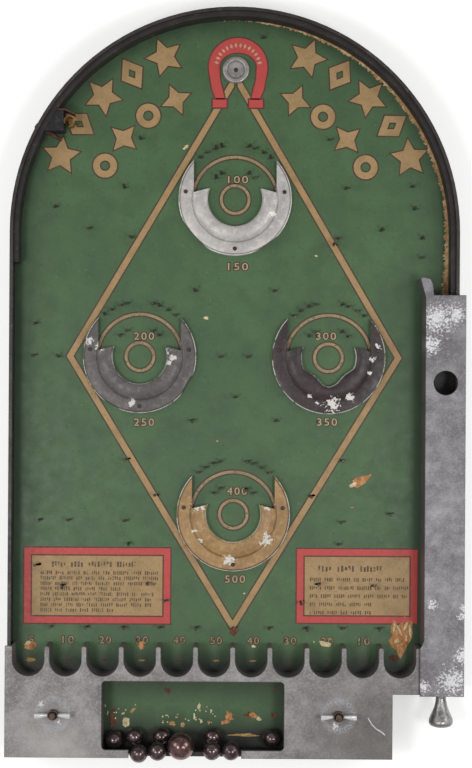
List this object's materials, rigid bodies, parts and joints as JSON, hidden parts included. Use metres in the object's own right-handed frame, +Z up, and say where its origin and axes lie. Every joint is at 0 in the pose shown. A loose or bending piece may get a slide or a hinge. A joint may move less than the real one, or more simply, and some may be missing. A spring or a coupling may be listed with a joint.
{
  "type": "bagatelle board game",
  "caption": "Arched tabletop bagatelle board with scoring cups and pins, a cast front apron with pockets and ball tray, a sprung ball plunger in a side lane and loose steel balls.",
  "frame": {"origin": "on the resting plane, under the middle of the whole game's bounding box", "axes": "+X to the player's right, where the ball lane is; +Y away from the player, to the arched end; +Z up, out of the playfield"},
  "size_m": [0.3606, 0.5954, 0.0538],
  "materials": {
    "board_green": "green and printed enamel on hard fibreboard, matt",
    "rim_black": "black japanned sheet steel, worn",
    "liner_black": "black painted fibre strip",
    "apron_aluminium": "rough cast, brushed and dull",
    "lane_aluminium": "cast, ground and scuffed",
    "knob_aluminium": "turned, satin",
    "steel": "bright steel gone dull",
    "spring_steel": "drawn spring wire",
    "nail_steel": "blued nails, worn",
    "pin_steel": "steel pins, tarnished",
    "rusty_steel": "steel with light rust",
    "clip_steel": "black clips",
    "brass": "tarnished brass",
    "tip_rubber": "black rubber",
    "block_rubber": "black rubber",
    "cup_silver": "pressed tin with silver paint",
    "cup_grey": "pressed tin with grey enamel, chipped",
    "cup_maroon": "pressed tin with maroon enamel, chipped",
    "cup_gold": "pressed tin with gold paint, chipped",
    "target_tin": "pressed tin, dull",
    "wing_nut_plate": "bright nickel plate",
    "ball_steel": "steel balls browned with age",
    "large_ball_steel": "large steel ball browned with age",
    "batten_wood": "plain softwood"
  },
  "bodies": {
    "case": {"playfield_board": "board_green", "rim_band": "rim_black", "arch_liner": "liner_black", "apron_casting": "apron_aluminium", "trough_casting": "lane_aluminium", "plunger_spring": "spring_steel", "plunger_bushing": "brass", "cup_upper": "cup_silver", "cup_left": "cup_grey", "cup_right": "cup_maroon", "cup_lower": "cup_gold", "cup_nails": "nail_steel", "target_cup": "target_tin", "target_nail": "nail_steel", "playfield_pins": "pin_steel", "apron_bolts": "steel", "rebound_block": "block_rubber", "rebound_strap": "rusty_steel", "rebound_leaf": "brass", "rebound_screw": "rusty_steel", "rebound_washer": "rusty_steel", "front_batten": "batten_wood", "middle_batten": "batten_wood", "rear_batten": "batten_wood", "batten_screws": "steel", "stand_clips": "clip_steel", "stand_clip_screws": "steel", "rim_screws": "steel", "trough_screws": "steel", "trough_nuts": "steel", "wall_rivets": "rusty_steel"},
    "plunger": {"plunger_rod": "steel", "plunger_knob": "knob_aluminium", "plunger_tip": "tip_rubber", "plunger_collar": "steel"},
    "wing_nut_left": {"wing_nut_left": "wing_nut_plate"},
    "wing_nut_right": {"wing_nut_right": "wing_nut_plate"},
    "rear_stand": {"rear_stand": "steel"},
    "ball_1": {"ball_1": "ball_steel"},
    "ball_2": {"ball_2": "ball_steel"},
    "ball_3": {"ball_3": "ball_steel"},
    "ball_4": {"ball_4": "ball_steel"},
    "ball_5": {"ball_5": "ball_steel"},
    "ball_6": {"ball_6": "ball_steel"},
    "ball_7": {"ball_7": "ball_steel"},
    "ball_8": {"ball_8": "ball_steel"},
    "ball_9": {"ball_9": "ball_steel"},
    "ball_large": {"ball_large": "large_ball_steel"}
  },
  "joints": [
    {"name": "plunger_slide", "type": "slide", "parent": "case", "child": "plunger", "axis": [0, -1, 0], "range_m": [0, 0.03], "stiffness_N_per_m": 130, "springref_m": -0.015, "deforming": ["plunger_spring"]},
    {"name": "wing_nut_left_spin", "type": "hinge", "parent": "case", "child": "wing_nut_left", "pos_m": [-0.14155, -0.25907, 0.041], "axis": [0, 0, 1], "continuous": true},
    {"name": "wing_nut_right_spin", "type": "hinge", "parent": "case", "child": "wing_nut_right", "pos_m": [0.08195, -0.25907, 0.041], "axis": [0, 0, 1], "continuous": true},
    {"name": "rear_stand_fold", "type": "hinge", "parent": "case", "child": "rear_stand", "pos_m": [-0.00145, 0.20453, 0.0064], "axis": [1, 0, 0], "range_deg": [0, 100]},
    {"name": "ball_1_lift", "type": "slide", "parent": "case", "child": "ball_1", "axis": [0, 0.8, 0.6], "range_m": [0, 0.045]},
    {"name": "ball_2_lift", "type": "slide", "parent": "case", "child": "ball_2", "axis": [0, 0.8, 0.6], "range_m": [0, 0.045]},
    {"name": "ball_3_lift", "type": "slide", "parent": "case", "child": "ball_3", "axis": [0, 0.8, 0.6], "range_m": [0, 0.045]},
    {"name": "ball_4_lift", "type": "slide", "parent": "case", "child": "ball_4", "axis": [0, 0.8, 0.6], "range_m": [0, 0.045]},
    {"name": "ball_5_lift", "type": "slide", "parent": "case", "child": "ball_5", "axis": [0, 0.8, 0.6], "range_m": [0, 0.045]},
    {"name": "ball_6_lift", "type": "slide", "parent": "case", "child": "ball_6", "axis": [0, 0, 1], "range_m": [0, 0.04]},
    {"name": "ball_7_lift", "type": "slide", "parent": "case", "child": "ball_7", "axis": [0, 0, 1], "range_m": [0, 0.04]},
    {"name": "ball_8_lift", "type": "slide", "parent": "case", "child": "ball_8", "axis": [0, 0, 1], "range_m": [0, 0.04]},
    {"name": "ball_9_lift", "type": "slide", "parent": "case", "child": "ball_9", "axis": [0, 0, 1], "range_m": [0, 0.04]},
    {"name": "ball_large_lift", "type": "slide", "parent": "case", "child": "ball_large", "axis": [0, 0, 1], "range_m": [0, 0.04]}
  ]
}
